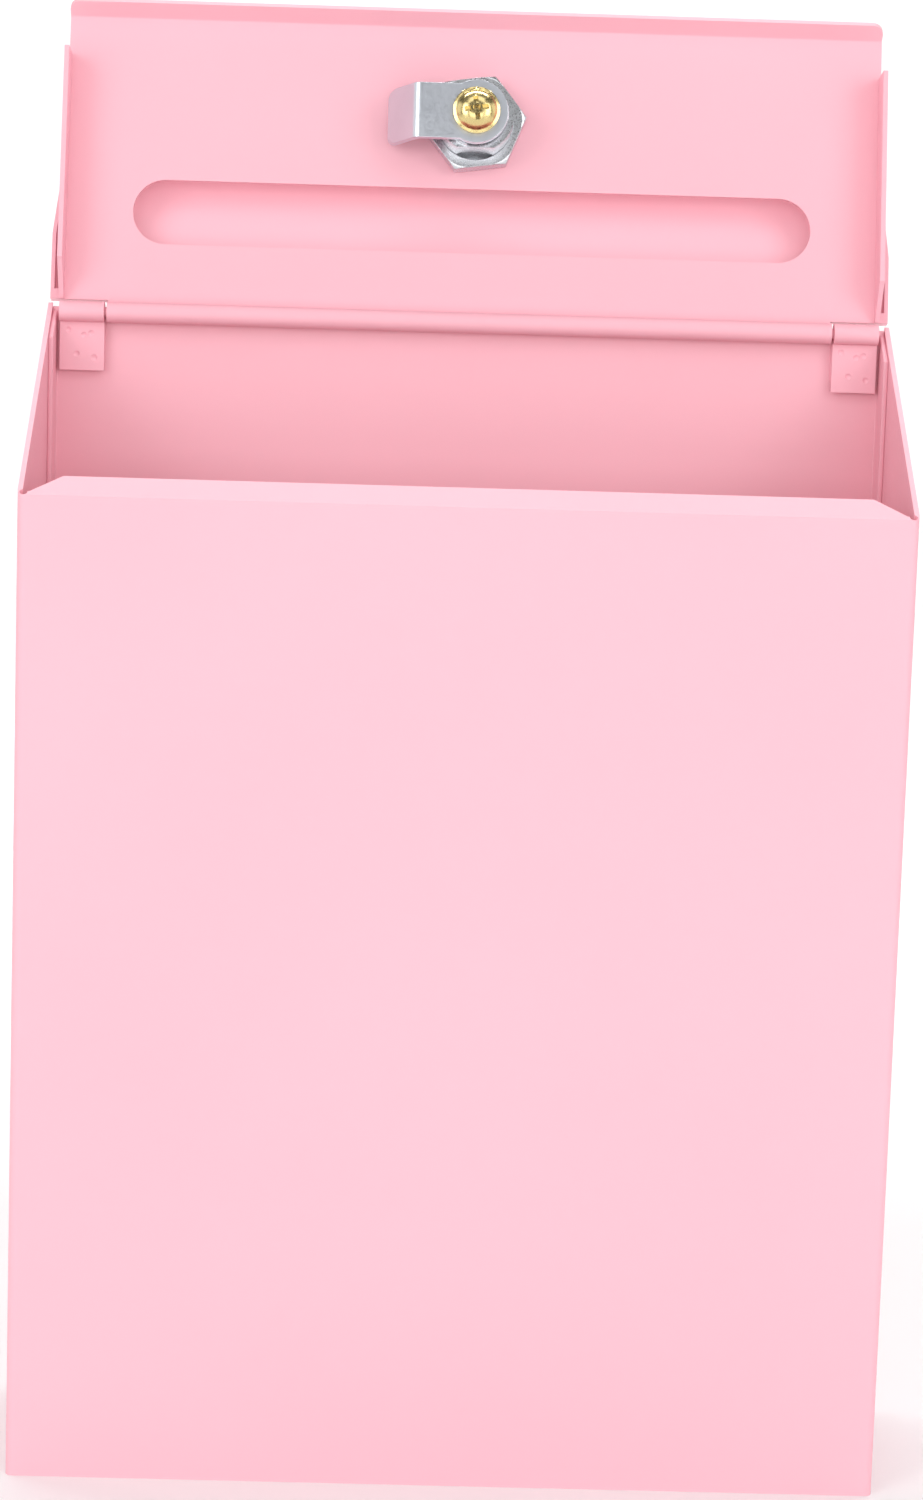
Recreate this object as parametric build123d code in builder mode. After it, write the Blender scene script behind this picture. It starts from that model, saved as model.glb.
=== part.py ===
"""Wall-mountable steel donation box: folded sheet body, hinged sloping lid with a hooded slot, cam lock.

Millimetres, +Z up, +X to the right of a person facing the box, +Y towards the wall.
The origin is the centre of the base face. The lid stands open against its stop and the cam is unlocked.
"""
from build123d import *

import os
from math import atan2, cos, radians, sin, tan

os.makedirs("parts", exist_ok=True)

# ---------------------------------------------------------------- driving dimensions
width = 178.0
depth = 56.0
front_height = 201.0
rear_height = 237.5
sheet = 1.0
bend = 1.5                    # outside bend radius of the sheet

front_flange = 6.4            # inward flange along the front panel's top edge
front_flange_cut = 7.6        # how far its ends run in diagonally
back_flange = 8.0             # forward flanges of the back panel
bottom_flange = 8.0           # upturned flanges of the bottom panel
weld_gap = 0.5                # room where one flange passes the end of another

wall_hole = 5.0               # screw holes through the back panel
wall_hole_spacing_x = 120.0
wall_hole_spacing_z = 130.0
wall_hole_centre_z = 105.0

pin_radius = 1.1
knuckle_radius = pin_radius + 0.05 + sheet
knuckle_gap = 0.3             # lid knuckle to the back panel
hinge_z = rear_height - 1.6
hinge_y = depth / 2 - sheet - knuckle_radius - knuckle_gap
leaf_inner_x = 76.7
leaf_outer_x = 86.4
leaf_drop = 12.3
leaf_under_drop = 10.0
leaf_under_shift = 0.6
lid_knuckle_half = 76.3

open_lean = 12.5              # the open lid leans back this many degrees past upright
stop_gap = 0.05               # lid to the back panel's top edge, where it comes to rest
lid_half = 86.6               # over the side flanges
lid_plate_half = 86.2
lid_bend = 63.5               # hinge axis to the inside of the front bend
lip_length = 4.2
lip_corner = 2.6
lid_flange_depth = 8.5
lid_flange_front = 55.2
lid_flange_rear = 10.3
lid_rear_edge = 2.8           # plate edge beside the fixed knuckles
closed_gap = 0.3              # lid to the front flange when shut
slot_length = 143.4
slot_width = 13.8
slot_centre = 22.0

hood_sheet = 0.8
hood_half = 88.6
hood_front_half = 86.5
hood_rear = 3.0
hood_shoulder = 17.0
hood_front = 34.0
hood_rear_height = 2.6
hood_front_height = 9.0

lock_distance = 42.4          # hinge axis to the lock's centre line
barrel_radius = 8.0
barrel_flat = 7.0
barrel_end = 9.0
face_radius = 10.5
face_height = 2.4
nut_across_flats = 19.0
nut_height = 3.6
plug_radius = 5.5
bore_radius = 5.55
tail_radius = 3.4
tail_flat = 2.5
stop_ring_height = 0.9
stop_lug_half_angle = 12.0
stop_clearance = 2.5
cam_turn = 90.0
cam_thickness = 1.5
cam_width = 11.7
cam_head_radius = 6.7
cam_bend = 12.0
cam_reach = 18.4
cam_tip_gap = 1.2             # cam tip above the hinge axis plane, clear of the front flange
wafer_count = 5
wafer_pitch = 2.0

# ---------------------------------------------------------------- derived geometry
half_width = width / 2
inner_half = half_width - sheet
front_y = -depth / 2
rear_y = depth / 2
slope = atan2(rear_height - front_height, depth)

lean = radians(open_lean)
lid_up = Vector(0, sin(lean), cos(lean))            # along the plate, hinge to front edge
lid_in = Vector(0, -cos(lean), sin(lean))           # from the plate towards the inside of the box
hinge_point = Vector(0, hinge_y, hinge_z)
lid_plane = Plane(origin=hinge_point, x_dir=(1, 0, 0), z_dir=lid_in)
lid_profile = Plane(origin=hinge_point, x_dir=lid_up, z_dir=(1, 0, 0))
plate_outer = -knuckle_radius                       # lid faces, measured along lid_in
plate_inner = plate_outer + sheet

# The open lid's outer face rests on the back panel's top inner edge.
stop_along = (rear_y - sheet - hinge_y - (knuckle_radius + stop_gap) * cos(lean)) / sin(lean)
back_height = hinge_z + stop_along * cos(lean) - knuckle_radius * sin(lean)

# The shut lid's inner face lies closed_gap above the front flange, so its angle is a little over the slope.
flange_rise = (hinge_z - front_height) * cos(slope) - (hinge_y - front_y) * sin(slope)
closed_angle = slope + atan2(flange_rise - plate_inner - closed_gap, lid_bend)
lip_turn = radians(90) - closed_angle

lock_point = hinge_point + lid_up * lock_distance
lock_plane = Plane(origin=lock_point, x_dir=(1, 0, 0), z_dir=lid_in)
lock_profile = Plane(origin=lock_point, x_dir=(1, 0, 0), z_dir=lid_up * -1)
lock_axis = Axis(origin=lock_point, direction=lid_in)


def keep(builder, name):
    """Label a finished sub-part and write it under its node name."""
    builder.part.label = name
    export_step(builder.part, f"parts/{name}.step")


# ---------------------------------------------------------------- body: front and both sides, one folded sheet
flange_plane = Plane(origin=(0, front_y, front_height), x_dir=(1, 0, 0), z_dir=(0, -sin(slope), cos(slope)))

with BuildPart() as front_side_wrap:
    with BuildSketch() as wrap_plan:
        Rectangle(width, depth)
        fillet(wrap_plan.vertices().group_by(Axis.Y)[0], bend)
        with Locations((0, sheet)):
            Rectangle(2 * inner_half, depth, mode=Mode.SUBTRACT)
    extrude(amount=rear_height)
    with BuildSketch(Plane.YZ) as slope_cut:
        Polygon(
            (front_y - 5, front_height - 5 * tan(slope)),
            (rear_y + 5, rear_height + 5 * tan(slope)),
            (rear_y + 5, rear_height + 60),
            (front_y - 5, rear_height + 60),
            align=None,
        )
    extrude(amount=width, both=True, mode=Mode.SUBTRACT)
    with BuildSketch(flange_plane):
        Polygon(
            (-inner_half, 0),
            (inner_half, 0),
            (inner_half - front_flange_cut, front_flange),
            (front_flange_cut - inner_half, front_flange),
            align=None,
        )
    extrude(amount=-sheet)
    with BuildSketch(flange_plane):
        with Locations((inner_half - 0.2, 0.9), (0.2 - inner_half, 0.9)):
            Circle(0.8)
    extrude(amount=-2.2, both=True, mode=Mode.SUBTRACT)
keep(front_side_wrap, "front_side_wrap")

# ---------------------------------------------------------------- body: back panel with forward flanges
with BuildPart() as back_panel:
    with BuildSketch():
        with Locations((0, rear_y - sheet / 2)):
            Rectangle(2 * inner_half, sheet)
    extrude(amount=back_height)
    with BuildSketch(Plane.XY.offset(sheet + weld_gap)):
        with GridLocations(2 * inner_half - sheet, 0, 2, 1):
            with Locations((0, rear_y - sheet - back_flange / 2)):
                Rectangle(sheet, back_flange)
    extrude(amount=back_height - sheet - weld_gap)
    with BuildSketch(Plane.YZ):
        Polygon(
            (front_y, front_height - 1),
            (rear_y - sheet, rear_height - 1 - sheet * tan(slope)),
            (rear_y - sheet, rear_height + 60),
            (front_y, rear_height + 60),
            align=None,
        )
    extrude(amount=width, both=True, mode=Mode.SUBTRACT)
    with BuildSketch(Plane.XZ.offset(-rear_y)):
        with Locations((0, wall_hole_centre_z)):
            with GridLocations(wall_hole_spacing_x, wall_hole_spacing_z, 2, 2):
                Circle(wall_hole / 2)
    extrude(amount=sheet, mode=Mode.SUBTRACT)
keep(back_panel, "back_panel")

# ---------------------------------------------------------------- body: bottom panel, a shallow upturned tray
with BuildPart() as bottom_panel:
    tray_depth = depth - 2 * sheet
    with BuildSketch():
        Rectangle(2 * inner_half, tray_depth)
    extrude(amount=sheet + bottom_flange)
    with BuildSketch(Plane.XY.offset(sheet)):
        Rectangle(2 * (inner_half - sheet), tray_depth - 2 * sheet)
    extrude(amount=bottom_flange, mode=Mode.SUBTRACT)
    with BuildSketch(Plane.XY.offset(sheet)):
        with GridLocations(2 * inner_half, tray_depth, 2, 2):
            Rectangle(4, 4)
        with GridLocations(2 * inner_half, 0, 2, 1):
            with Locations((0, tray_depth / 2 - back_flange / 2)):
                Rectangle(2 * (sheet + weld_gap), back_flange + 2 * weld_gap)
    extrude(amount=bottom_flange, mode=Mode.SUBTRACT)
keep(bottom_panel, "bottom_panel")


# ---------------------------------------------------------------- body: fixed hinge leaves
def make_hinge_leaf(side):
    """A strap folded round the pin and spot-welded inside the back panel, on one side (-1 left, 1 right)."""
    centre = side * (leaf_inner_x + leaf_outer_x) / 2
    length = leaf_outer_x - leaf_inner_x
    with BuildPart() as leaf:
        with BuildSketch(Plane.YZ.offset(centre - leaf_under_shift / 2)):
            with Locations((rear_y - 1.5 * sheet, hinge_z - leaf_under_drop / 2)):
                Rectangle(sheet, leaf_under_drop)
        extrude(amount=(length - leaf_under_shift) / 2, both=True)
        with BuildSketch(Plane.YZ.offset(centre)):
            with Locations((hinge_y, hinge_z)):
                Circle(knuckle_radius)
            with Locations((rear_y - 2.5 * sheet, hinge_z - knuckle_radius / 2 - leaf_drop / 2)):
                Rectangle(sheet, leaf_drop - knuckle_radius)
        extrude(amount=length / 2 - 0.15, both=True)
        with BuildSketch(Plane.YZ.offset(centre)):
            with Locations((hinge_y, hinge_z)):
                Circle(pin_radius)
        extrude(amount=length, both=True, mode=Mode.SUBTRACT)
        dimples = [(-2.9, -3.9), (0.4, -4.9), (1.9, -4.5), (-1.1, -8.9), (2.6, -9.6)]
        with Locations([(centre + x, rear_y - 3 * sheet - 0.75, hinge_z + z) for x, z in dimples]):
            Sphere(1.0, mode=Mode.SUBTRACT)
    return leaf


left_hinge_leaf = make_hinge_leaf(-1)
keep(left_hinge_leaf, "left_hinge_leaf")
right_hinge_leaf = make_hinge_leaf(1)
keep(right_hinge_leaf, "right_hinge_leaf")

# ---------------------------------------------------------------- body: hinge pin
with BuildPart() as hinge_pin:
    with BuildSketch(Plane.YZ):
        with Locations((hinge_y, hinge_z)):
            Circle(pin_radius)
    extrude(amount=leaf_outer_x, both=True)
    chamfer(hinge_pin.edges().group_by(Axis.X)[0] + hinge_pin.edges().group_by(Axis.X)[-1], 0.2)
keep(hinge_pin, "hinge_pin")

# ---------------------------------------------------------------- lid: plate, lip, side flanges and rolled knuckle
channel_plane = Plane(origin=hinge_point + lid_up * lid_rear_edge, x_dir=(1, 0, 0), z_dir=lid_up)
lip_dir = Vector(cos(lip_turn), sin(lip_turn))
lip_normal = Vector(sin(lip_turn), -cos(lip_turn))
inner_corner = Vector(lid_bend, plate_inner)
outer_corner = Vector(lid_bend + sheet * tan(lip_turn / 2), plate_outer)
lip_end = inner_corner + lip_dir * lip_length
lip_end_outer = lip_end + lip_normal * sheet

with BuildPart() as lid_panel:
    # Plate and side flanges are one channel; its sketch has +Y away from the inside of the box.
    with BuildSketch(channel_plane) as channel:
        with Locations((0, -plate_outer - lid_flange_depth / 2)):
            Rectangle(2 * lid_half, lid_flange_depth)
        fillet(channel.vertices().group_by(Axis.Y)[-1], bend)
        with Locations((0, -plate_inner - lid_flange_depth / 2)):
            Rectangle(2 * (lid_half - sheet), lid_flange_depth, mode=Mode.SUBTRACT)
    extrude(amount=lid_flange_front - lid_rear_edge)
    with BuildSketch(lid_profile):
        Polygon(
            (lid_rear_edge, plate_inner + 0.6),
            (lid_flange_rear, plate_outer + lid_flange_depth),
            (lid_rear_edge, plate_outer + lid_flange_depth),
            align=None,
        )
    extrude(amount=width, both=True, mode=Mode.SUBTRACT)
    # The front stretch is a little narrower, and bends down into the lip.
    with BuildSketch(lid_profile) as front_section:
        Polygon(
            (lid_flange_front, plate_outer),
            (outer_corner.X, outer_corner.Y),
            (lip_end_outer.X, lip_end_outer.Y),
            (lip_end.X, lip_end.Y),
            (inner_corner.X, inner_corner.Y),
            (lid_flange_front, plate_inner),
            align=None,
        )
        fillet(front_section.vertices().sort_by_distance(outer_corner)[0], bend)
        fillet(front_section.vertices().sort_by_distance(inner_corner)[0], bend - sheet)
    extrude(amount=lid_plate_half, both=True)
    for side in (-1, 1):
        lip_tip = lid_profile.from_local_coords(lip_end + lip_normal * (sheet / 2))
        corner = lip_tip + Vector(side * lid_plate_half, 0, 0)
        fillet(lid_panel.edges().sort_by_distance(corner)[0], lip_corner)
    # The knuckle is rolled from the plate's rear edge, and stops short of the plate again.
    with BuildSketch(lid_profile):
        Circle(knuckle_radius)
        Circle(knuckle_radius - sheet, mode=Mode.SUBTRACT)
        with Locations((knuckle_radius / 2, plate_inner + 0.2)):
            Rectangle(knuckle_radius * 1.2, 0.4, mode=Mode.SUBTRACT)
        with Locations((lid_rear_edge / 2, plate_inner - sheet / 2)):
            Rectangle(lid_rear_edge, sheet)
    extrude(amount=lid_knuckle_half, both=True)
    with BuildSketch(lid_plane.offset(plate_outer)):
        with Locations((0, slot_centre)):
            SlotOverall(slot_length, slot_width)
        with Locations((0, lock_distance)):
            Circle(barrel_radius + 0.15)
    extrude(amount=sheet, mode=Mode.SUBTRACT)
keep(lid_panel, "lid_panel")

# ---------------------------------------------------------------- lid: hood over the slot, open to the front
hood_slope_rise = (hood_front_height - hood_rear_height) / (hood_front - hood_rear)


def hood_wedge(inset, front_extra):
    """The hood's outer wedge, or with an inset the hollow inside it."""
    top = plate_outer - hood_rear_height + inset
    top_front = plate_outer - hood_front_height + inset - front_extra * hood_slope_rise
    half = hood_half - inset
    front_half = hood_front_half - inset
    rear = hood_rear + inset
    front = hood_front + front_extra
    with BuildPart() as wedge:
        with BuildSketch(lid_profile):
            Polygon((rear, plate_outer), (front, plate_outer), (front, top_front), (rear, top), align=None)
        extrude(amount=half, both=True)
        with BuildSketch(lid_plane):
            Polygon(
                (-half, rear),
                (half, rear),
                (half, hood_shoulder),
                (front_half, hood_front),
                (front_half, front),
                (-front_half, front),
                (-front_half, hood_front),
                (-half, hood_shoulder),
                align=None,
            )
        extrude(amount=3 * hood_front_height, both=True, mode=Mode.INTERSECT)
    return wedge.part


hood_hollow = hood_wedge(hood_sheet, 2.0)

with BuildPart() as slot_hood:
    add(hood_wedge(0, 0))
    add(hood_hollow, mode=Mode.SUBTRACT)
    with BuildSketch(lid_plane.offset(plate_outer)):
        with Locations((0, hood_rear + 1.1)):
            Rectangle(2 * (hood_half - hood_sheet), 2.2)
        with Locations((0, hood_rear + 3.2)):
            Rectangle(2 * lid_knuckle_half, 6.4)
        for side in (-1, 1):
            with Locations((side * (hood_front_half - 3.2), hood_front - 4.0)):
                Rectangle(6.4, 6.0)
    extrude(amount=-hood_sheet)
keep(slot_hood, "slot_hood")

# ---------------------------------------------------------------- lock: housing with face, flatted barrel and stop ring
with BuildPart() as lock_housing:
    with BuildSketch(lock_plane.offset(plate_outer)):
        Circle(face_radius)
    extrude(amount=-face_height)
    with BuildSketch(lock_plane.offset(plate_outer)):
        Circle(barrel_radius)
        Rectangle(2 * barrel_radius, 2 * barrel_flat, mode=Mode.INTERSECT)
    extrude(amount=barrel_end - plate_outer)
    face_rim = lock_housing.edges().filter_by(GeomType.CIRCLE).sort_by(lock_axis)[0]
    fillet(face_rim, 1.0)
    with BuildSketch(lock_plane.offset(barrel_end)):
        Circle(barrel_flat)
    extrude(amount=stop_ring_height)
    with BuildSketch(lock_plane.offset(plate_outer - face_height)):
        Circle(bore_radius)
        Rectangle(3.4, 2 * (bore_radius + 0.9))
    extrude(amount=face_height + barrel_end - plate_outer - 1.2, mode=Mode.SUBTRACT)
    with BuildSketch(lock_plane.offset(barrel_end - 1.2)):
        Circle(bore_radius)
    extrude(amount=1.2 + stop_ring_height, mode=Mode.SUBTRACT)
    with BuildSketch(lock_plane.offset(barrel_end)):
        with BuildLine():
            sweep_start = stop_lug_half_angle + stop_clearance
            sweep_size = -(cam_turn + 2 * sweep_start)
            stop_arc = CenterArc((0, 0), 2 * barrel_radius, sweep_start, sweep_size)
            Line((0, 0), stop_arc @ 0)
            Line((0, 0), stop_arc @ 1)
        make_face()
    extrude(amount=stop_ring_height, mode=Mode.SUBTRACT)
keep(lock_housing, "lock_housing")

# ---------------------------------------------------------------- lock: hex nut
with BuildPart() as lock_nut:
    with BuildSketch(lock_plane.offset(plate_inner)):
        RegularPolygon(nut_across_flats / 2, 6, major_radius=False, rotation=8)
    extrude(amount=nut_height)
    with BuildSketch(lock_profile):
        nut_corner = nut_across_flats / 2 / cos(radians(30))
        Polygon(
            (0, plate_inner),
            (nut_corner - 1.2, plate_inner),
            (nut_corner, plate_inner + 0.6),
            (nut_corner, plate_inner + nut_height - 0.6),
            (nut_corner - 1.2, plate_inner + nut_height),
            (0, plate_inner + nut_height),
            align=None,
        )
    revolve(axis=lock_axis, mode=Mode.INTERSECT)
    with BuildSketch(lock_plane.offset(plate_inner)):
        Circle(barrel_radius)
    extrude(amount=nut_height, mode=Mode.SUBTRACT)
keep(lock_nut, "lock_nut")

# ---------------------------------------------------------------- lock core: plug with keyway, wafer slots and flatted tail
stop_washer_start = barrel_end + 0.05
stop_washer_thickness = 0.8
cam_start = barrel_end + stop_ring_height + 0.3
washer_start = cam_start + cam_thickness
washer_thickness = 0.5
head_start = washer_start + washer_thickness
plug_face = plate_outer - face_height + 0.2
plug_end = barrel_end
tail_end = washer_start - 0.1
wafer_first = plug_face + 2.5
wafer_planes = [lock_plane.offset(wafer_first + i * wafer_pitch) for i in range(wafer_count)]

with BuildPart() as lock_plug:
    with BuildSketch(lock_plane.offset(plug_face)):
        Circle(plug_radius)
    extrude(amount=plug_end - plug_face)
    with BuildSketch(lock_plane.offset(plug_end)):
        Circle(tail_radius)
        Rectangle(2 * tail_radius, 2 * tail_flat, mode=Mode.INTERSECT)
    extrude(amount=tail_end - plug_end)
    with BuildSketch(lock_plane.offset(plug_face)):
        Rectangle(7.0, 1.8)
        with Locations((2.2, 0.5)):
            Rectangle(1.6, 1.4)
    extrude(amount=wafer_count * wafer_pitch + 2.2, mode=Mode.SUBTRACT)
    with BuildSketch(*wafer_planes):
        Rectangle(4.2, 9.0)
    extrude(amount=1.1, mode=Mode.SUBTRACT)
    with BuildSketch(lock_plane.offset(tail_end)):
        Circle(2.0)
    extrude(amount=-(tail_end - plug_end), mode=Mode.SUBTRACT)
keep(lock_plug, "lock_plug")

# ---------------------------------------------------------------- lock core: wafers, each with a window for the key
with BuildPart() as plug_wafers:
    with BuildSketch(*[plane.offset(0.05) for plane in wafer_planes]):
        Rectangle(4.1, 8.6)
        Rectangle(3.0, 5.4, mode=Mode.SUBTRACT)
    extrude(amount=1.0)
keep(plug_wafers, "plug_wafers")

# ---------------------------------------------------------------- lock core: stop washer, whose lug limits the turn
with BuildPart() as stop_washer:
    with BuildSketch(lock_plane.offset(stop_washer_start)):
        Circle(bore_radius - 0.3)
        with Locations((barrel_flat / 2, 0)):
            lug_half_width = bore_radius * sin(radians(stop_lug_half_angle))
            Rectangle(barrel_flat - 0.4, 2 * lug_half_width)
        with BuildSketch(mode=Mode.SUBTRACT):
            Circle(tail_radius)
            Rectangle(2 * tail_radius, 2 * tail_flat, mode=Mode.INTERSECT)
    extrude(amount=stop_washer_thickness)
keep(stop_washer, "stop_washer")

# ---------------------------------------------------------------- lock core: cam, cranked towards the lid plate
with BuildPart() as cam_plate:
    crank = atan2(cam_start - cam_tip_gap, cam_reach - cam_bend)
    crank_x = cam_thickness * tan(crank / 2)
    with BuildSketch(lock_profile) as cam_section:
        Polygon(
            (cam_head_radius, cam_start),
            (crank_x - cam_bend - 0.6, cam_start),
            (-cam_reach, cam_tip_gap),
            (-cam_reach, cam_tip_gap + cam_thickness / cos(crank)),
            (-cam_bend - 0.6, cam_start + cam_thickness),
            (cam_head_radius, cam_start + cam_thickness),
            align=None,
        )
        fillet(cam_section.vertices().sort_by_distance((-cam_bend - 0.6, cam_start + cam_thickness))[0], 2.2)
        fillet(cam_section.vertices().sort_by_distance((crank_x - cam_bend - 0.6, cam_start))[0], 0.7)
    extrude(amount=cam_width, both=True)
    with BuildSketch(lock_plane) as cam_outline:
        Circle(cam_head_radius)
        with Locations((-cam_reach / 2, 0)):
            Rectangle(cam_reach, cam_width)
        fillet(cam_outline.vertices().group_by(Axis.X)[0], 2.0)
    extrude(amount=2 * cam_start, mode=Mode.INTERSECT)
    with BuildSketch(lock_plane.offset(cam_start)):
        Circle(tail_radius)
        Rectangle(2 * tail_radius, 2 * tail_flat, mode=Mode.INTERSECT)
    extrude(amount=cam_thickness, mode=Mode.SUBTRACT)
keep(cam_plate, "cam_plate")

# ---------------------------------------------------------------- lock core: washer and cross-recess screw
with BuildPart() as cam_washer:
    with BuildSketch(lock_plane.offset(washer_start)):
        Circle(4.7)
        Circle(2.1, mode=Mode.SUBTRACT)
    extrude(amount=washer_thickness)
keep(cam_washer, "cam_washer")

with BuildPart() as cam_screw:
    head_height = 2.5
    head_radius = 4.3
    with BuildSketch(lock_profile):
        with BuildLine():
            Polyline(
                (0, head_start + head_height),
                (0, plug_end + 0.4),
                (2.0, plug_end + 0.4),
                (2.0, head_start),
                (head_radius + 0.6, head_start),
                (head_radius + 0.6, head_start + 0.5),
                (head_radius, head_start + 0.7),
            )
            ThreePointArc(
                (head_radius, head_start + 0.7),
                (head_radius * 0.66, head_start + head_height * 0.82),
                (0.8, head_start + head_height),
            )
            Line((0.8, head_start + head_height), (0, head_start + head_height))
        make_face()
    revolve(axis=lock_axis)
    with BuildSketch(lock_plane.offset(head_start + head_height)):
        Rectangle(5.0, 1.0, rotation=8)
        Rectangle(1.0, 5.0, rotation=8)
    extrude(amount=-1.6, mode=Mode.SUBTRACT)
keep(cam_screw, "cam_screw")
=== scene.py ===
"""Looks for the steel donation box: powder-coated sheet, zinc lock, studio floor, lights and camera."""

from math import cos, pi, radians, sin

import bmesh
import bpy
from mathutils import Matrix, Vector

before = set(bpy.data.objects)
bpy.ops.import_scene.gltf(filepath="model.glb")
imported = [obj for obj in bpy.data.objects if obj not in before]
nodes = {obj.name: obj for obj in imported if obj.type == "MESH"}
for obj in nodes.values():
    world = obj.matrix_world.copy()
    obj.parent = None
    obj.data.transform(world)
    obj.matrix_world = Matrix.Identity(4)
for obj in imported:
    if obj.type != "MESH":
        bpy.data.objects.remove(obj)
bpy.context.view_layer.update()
MM = 0.001
COAT_EDGE = 0.28        # softened edges, in millimetres
METAL_EDGE = 0.15

# ---------------------------------------------------------------- node-material helpers
def new_material(name):
    material = bpy.data.materials.new(name)
    material.use_nodes = True
    tree = material.node_tree
    shader = tree.nodes["Principled BSDF"]
    return material, tree, shader


def add_node(tree, kind, **settings):
    node = tree.nodes.new(kind)
    for key, value in settings.items():
        if key in node.inputs:
            node.inputs[key].default_value = value
        else:
            setattr(node, key, value)
    return node


def surface_noise(tree, scale, detail=3.0, roughness=0.5):
    """Noise in the object's own coordinates, scale in cycles per metre."""
    coords = add_node(tree, "ShaderNodeTexCoord")
    texture = add_node(tree, "ShaderNodeTexNoise", Scale=scale, Detail=detail, Roughness=roughness)
    tree.links.new(coords.outputs["Object"], texture.inputs["Vector"])
    return texture.outputs["Fac"]


def remap(tree, value, low, high, to_low, to_high):
    node = add_node(tree, "ShaderNodeMapRange")
    for key, number in (("From Min", low), ("From Max", high), ("To Min", to_low), ("To Max", to_high)):
        node.inputs[key].default_value = number
    tree.links.new(value, node.inputs["Value"])
    return node.outputs["Result"]


def blend_colours(tree, factor, first, second):
    node = add_node(tree, "ShaderNodeMix", data_type="RGBA")
    colours = [socket for socket in node.inputs if socket.type == "RGBA"]
    colours[0].default_value = (*first, 1)
    colours[1].default_value = (*second, 1)
    tree.links.new(factor, node.inputs[0])
    return [socket for socket in node.outputs if socket.type == "RGBA"][0]


def add_bump(tree, shader, heights):
    """Stacks bumps; heights is a list of (value, strength, distance in metres)."""
    normal = None
    for value, strength, distance in heights:
        bump = add_node(tree, "ShaderNodeBump", Strength=strength, Distance=distance)
        tree.links.new(value, bump.inputs["Height"])
        if normal is not None:
            tree.links.new(normal, bump.inputs["Normal"])
        normal = bump.outputs["Normal"]
    tree.links.new(normal, shader.inputs["Normal"])


# ---------------------------------------------------------------- materials
PINK = (0.935, 0.490, 0.565)
PINK_DEEP = (0.925, 0.480, 0.555)


def powder_coat():
    """Satin powder coat: fine orange peel, faint film-thickness mottling."""
    material, tree, shader = new_material("pink_powder_coat")
    mottling = remap(tree, surface_noise(tree, 14.0, 2.0), 0.35, 0.65, 0.0, 1.0)
    tree.links.new(blend_colours(tree, mottling, PINK, PINK_DEEP), shader.inputs["Base Color"])
    peel = surface_noise(tree, 900.0, 2.0, 0.45)
    waves = surface_noise(tree, 60.0, 1.0)
    tree.links.new(remap(tree, peel, 0.3, 0.7, 0.40, 0.50), shader.inputs["Roughness"])
    add_bump(tree, shader, [(waves, 0.10, 0.0006), (peel, 0.12, 0.00006)])
    shader.inputs["Specular IOR Level"].default_value = 0.4
    return material


def plated(name, colour, dark, roughness_low, roughness_high, grain):
    """Bright plated steel with a fine grain and dull patches."""
    material, tree, shader = new_material(name)
    patches = remap(tree, surface_noise(tree, 120.0, 2.0), 0.3, 0.75, 0.0, 1.0)
    tree.links.new(blend_colours(tree, patches, colour, dark), shader.inputs["Base Color"])
    fine = surface_noise(tree, grain, 3.0, 0.6)
    tree.links.new(remap(tree, fine, 0.3, 0.7, roughness_low, roughness_high), shader.inputs["Roughness"])
    add_bump(tree, shader, [(patches, 0.05, 0.00010), (fine, 0.06, 0.00002)])
    shader.inputs["Metallic"].default_value = 1.0
    return material


coat = powder_coat()
zinc = plated("bright_zinc", (0.72, 0.74, 0.77), (0.64, 0.65, 0.68), 0.24, 0.34, 2600.0)
cam_zinc = plated("cam_zinc", (0.70, 0.73, 0.79), (0.63, 0.66, 0.72), 0.30, 0.38, 1900.0)
gold_zinc = plated("yellow_zinc", (0.86, 0.70, 0.33), (0.70, 0.55, 0.24), 0.16, 0.32, 2300.0)
brass = plated("wafer_brass", (0.78, 0.60, 0.28), (0.62, 0.46, 0.20), 0.25, 0.40, 2000.0)

COATED = ("front_side_wrap", "back_panel", "bottom_panel", "left_hinge_leaf", "right_hinge_leaf",
          "hinge_pin", "lid_panel", "slot_hood")
FINISHES = {name: coat for name in COATED}
FINISHES.update({name: zinc for name in ("lock_housing", "lock_nut", "lock_plug", "stop_washer")})
FINISHES.update({"cam_plate": cam_zinc, "cam_washer": gold_zinc, "cam_screw": gold_zinc, "plug_wafers": brass})


def dress(name, material, edge):
    """Gives a CAD node its finish, with softened edges of the given radius in millimetres."""
    piece = nodes[name]
    piece.data.materials.clear()
    piece.data.materials.append(material)
    weld = piece.modifiers.new("join_faces", "WELD")
    weld.merge_threshold = 1e-6
    merge = piece.modifiers.new("merge_flats", "DECIMATE")
    merge.decimate_type = "DISSOLVE"
    merge.angle_limit = radians(0.5)
    soften = piece.modifiers.new("soft_edges", "BEVEL")
    soften.width = edge * MM
    soften.segments = 3
    soften.limit_method = "ANGLE"
    soften.angle_limit = radians(35)
    soften.harden_normals = False
    smooth = piece.modifiers.new("even_shading", "WEIGHTED_NORMAL")
    smooth.keep_sharp = True
    for face in piece.data.polygons:
        face.use_smooth = True


for node_name, finish in FINISHES.items():
    dress(node_name, finish, COAT_EDGE if finish is coat else METAL_EDGE)


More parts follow.
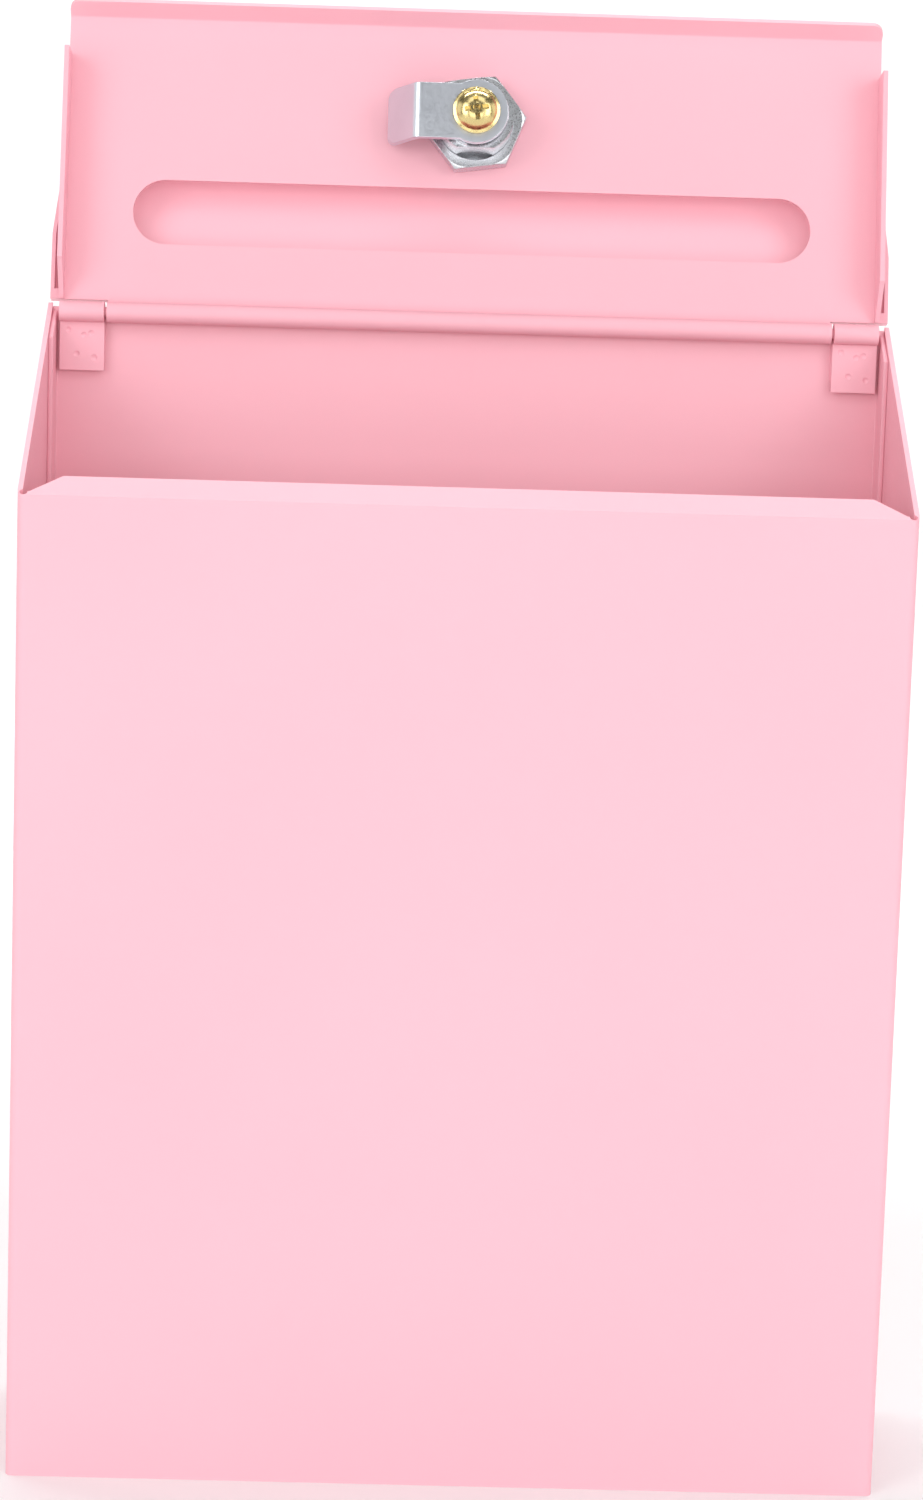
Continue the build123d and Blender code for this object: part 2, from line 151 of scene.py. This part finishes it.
# ---------------------------------------------------------------- studio
def studio_sweep():
    """A pale floor that curves up behind the box."""
    depth_front, depth_back, radius, height, half_width = -3.0, 1.6, 1.0, 4.0, 5.0
    profile = [(depth_front, 0.0), (depth_back, 0.0)]
    steps = 16
    for i in range(1, steps + 1):
        angle = pi / 2 * i / steps
        profile.append((depth_back + radius * sin(angle), radius * (1 - cos(angle))))
    profile.append((depth_back + radius, height))
    sheet = bmesh.new()
    left = [sheet.verts.new((-half_width, y, z)) for y, z in profile]
    right = [sheet.verts.new((half_width, y, z)) for y, z in profile]
    for i in range(len(profile) - 1):
        sheet.faces.new((left[i], right[i], right[i + 1], left[i + 1]))
    mesh = bpy.data.meshes.new("studio_sweep")
    sheet.to_mesh(mesh)
    sheet.free()
    for face in mesh.polygons:
        face.use_smooth = True
    floor = bpy.data.objects.new("studio_sweep", mesh)
    bpy.context.scene.collection.objects.link(floor)
    material, tree, shader = new_material("pale_floor")
    tone = remap(tree, surface_noise(tree, 6.0, 2.0), 0.3, 0.7, 0.0, 1.0)
    tree.links.new(blend_colours(tree, tone, (0.95, 0.95, 0.95), (0.93, 0.93, 0.93)), shader.inputs["Base Color"])
    shader.inputs["Roughness"].default_value = 0.8
    mesh.materials.append(material)


def area_light(name, location, target, size, power):
    data = bpy.data.lights.new(name, "AREA")
    data.shape = "RECTANGLE"
    data.size, data.size_y = size
    data.energy = power
    light = bpy.data.objects.new(name, data)
    light.location = location
    light.rotation_euler = (Vector(target) - Vector(location)).to_track_quat("-Z", "Y").to_euler()
    bpy.context.scene.collection.objects.link(light)


def soft_lights():
    """Two soft boxes in front, a low and a high fill, weak side fills, and a wash on the backdrop."""
    aim = (0, 0, 0.17)
    area_light("left_box", (-1.3, -1.3, 0.8), aim, (1.0, 1.4), 14.4)
    area_light("right_box", (1.3, -1.3, 0.8), aim, (1.0, 1.4), 13.9)
    area_light("low_fill", (0.0, -2.0, 0.45), aim, (1.6, 0.8), 9.0)
    area_light("high_fill", (0.0, -0.9, 1.6), aim, (1.5, 0.8), 5.0)
    area_light("left_fill", (-1.7, 0.0, 0.7), aim, (1.0, 1.2), 3.5)
    area_light("right_fill", (1.7, 0.0, 0.7), aim, (1.0, 1.2), 3.5)
    area_light("backdrop_wash", (0.0, 0.45, 1.9), (0.0, 2.2, 0.5), (2.0, 0.5), 43.0)
    world = bpy.data.worlds.new("studio")
    world.use_nodes = True
    background = world.node_tree.nodes["Background"]
    background.inputs["Color"].default_value = (1, 1, 1, 1)
    background.inputs["Strength"].default_value = 0.11
    bpy.context.scene.world = world


def camera():
    data = bpy.data.cameras.new("photo_view")
    data.sensor_width = 36.0
    data.lens = 81.3
    data.shift_x = 0.012
    data.shift_y = -0.011
    data.clip_start, data.clip_end = 0.01, 20.0
    view = bpy.data.objects.new("photo_view", data)
    view.location = (-0.0154, -0.6942, 0.2513)
    view.rotation_euler = (radians(81.85), radians(-1.73), radians(-0.75))
    bpy.context.scene.collection.objects.link(view)
    bpy.context.scene.camera = view


studio_sweep()
soft_lights()
camera()
bpy.context.scene.view_settings.view_transform = "Standard"
